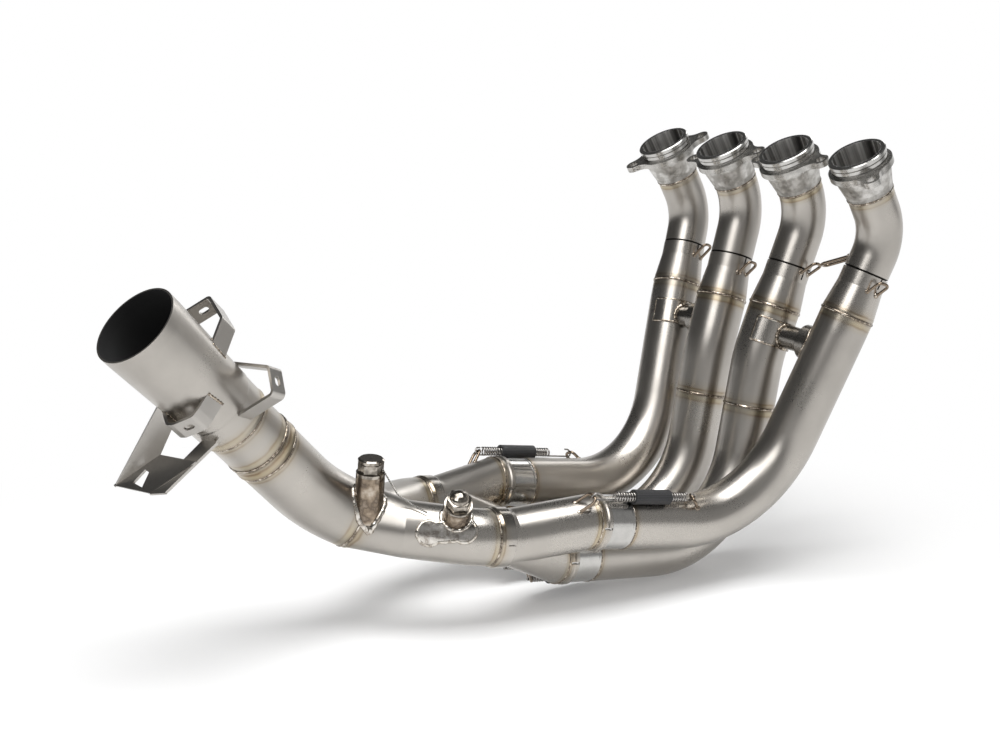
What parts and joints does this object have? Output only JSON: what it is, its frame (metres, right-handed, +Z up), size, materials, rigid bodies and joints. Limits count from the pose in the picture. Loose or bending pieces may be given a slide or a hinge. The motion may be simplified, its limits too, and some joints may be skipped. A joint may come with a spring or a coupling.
{
  "type": "exhaust header",
  "caption": "Motorcycle exhaust header: primaries from a row of ports merge in pairs under the engine and rise as one pipe to a flared outlet with folded brackets.",
  "frame": {"origin": "centre of the bounding box at the lowest point", "axes": "+X to the rider's right along the port row, +Y forward, +Z up"},
  "size_m": [0.3032, 0.6479, 0.3719],
  "materials": {
    "tube_metal": "satin titanium tube, faintly brushed, straw-tinted beside the welds",
    "machined_steel": "bright turned metal",
    "boss_metal": "turned metal, heat-tinted brown",
    "bracket_metal": "folded sheet, satin",
    "spring_steel": "bright spring wire",
    "wire_steel": "drawn wire",
    "black_rubber": "matt black rubber tube"
  },
  "bodies": {
    "root": {"port_sleeve_1": "machined_steel", "port_flange_1": "machined_steel", "upper_bend_1": "tube_metal", "slip_socket_1": "tube_metal", "lower_primary_1": "tube_metal", "collector_spigot_1": "tube_metal", "spring_1": "spring_steel", "spring_sleeve_1": "black_rubber", "port_sleeve_2": "machined_steel", "port_flange_2": "machined_steel", "upper_bend_2": "tube_metal", "slip_socket_2": "tube_metal", "lower_primary_2": "tube_metal", "collector_spigot_2": "tube_metal", "spring_2": "spring_steel", "spring_sleeve_2": "black_rubber", "port_sleeve_3": "machined_steel", "port_flange_3": "machined_steel", "upper_bend_3": "tube_metal", "slip_socket_3": "tube_metal", "lower_primary_3": "tube_metal", "collector_spigot_3": "tube_metal", "spring_3": "spring_steel", "spring_sleeve_3": "black_rubber", "port_sleeve_4": "machined_steel", "port_flange_4": "machined_steel", "upper_bend_4": "tube_metal", "slip_socket_4": "tube_metal", "lower_primary_4": "tube_metal", "collector_spigot_4": "tube_metal", "spring_4": "spring_steel", "spring_sleeve_4": "black_rubber", "collector_left": "tube_metal", "secondary_band_left": "tube_metal", "secondary_pipe_left": "tube_metal", "balance_pipe_left": "tube_metal", "balance_collar_left": "tube_metal", "balance_saddle_left": "tube_metal", "collector_right": "tube_metal", "secondary_band_right": "tube_metal", "secondary_pipe_right": "tube_metal", "balance_pipe_right": "tube_metal", "balance_collar_right": "tube_metal", "balance_saddle_right": "tube_metal", "merge_collector": "tube_metal", "final_bend": "tube_metal", "joint_ring": "tube_metal", "outlet_pipe": "tube_metal", "outlet_mouth": "tube_metal", "front_sensor_boss": "boss_metal", "rear_sensor_boss": "boss_metal", "front_sensor_plug": "machined_steel", "rear_sensor_plug": "machined_steel", "spring_anchors": "wire_steel", "slip_joint_hooks": "wire_steel", "lock_wire": "wire_steel", "top_bracket": "bracket_metal", "lower_bracket": "bracket_metal", "front_bracket": "bracket_metal", "stand_bracket": "bracket_metal"}
  },
  "joints": []
}
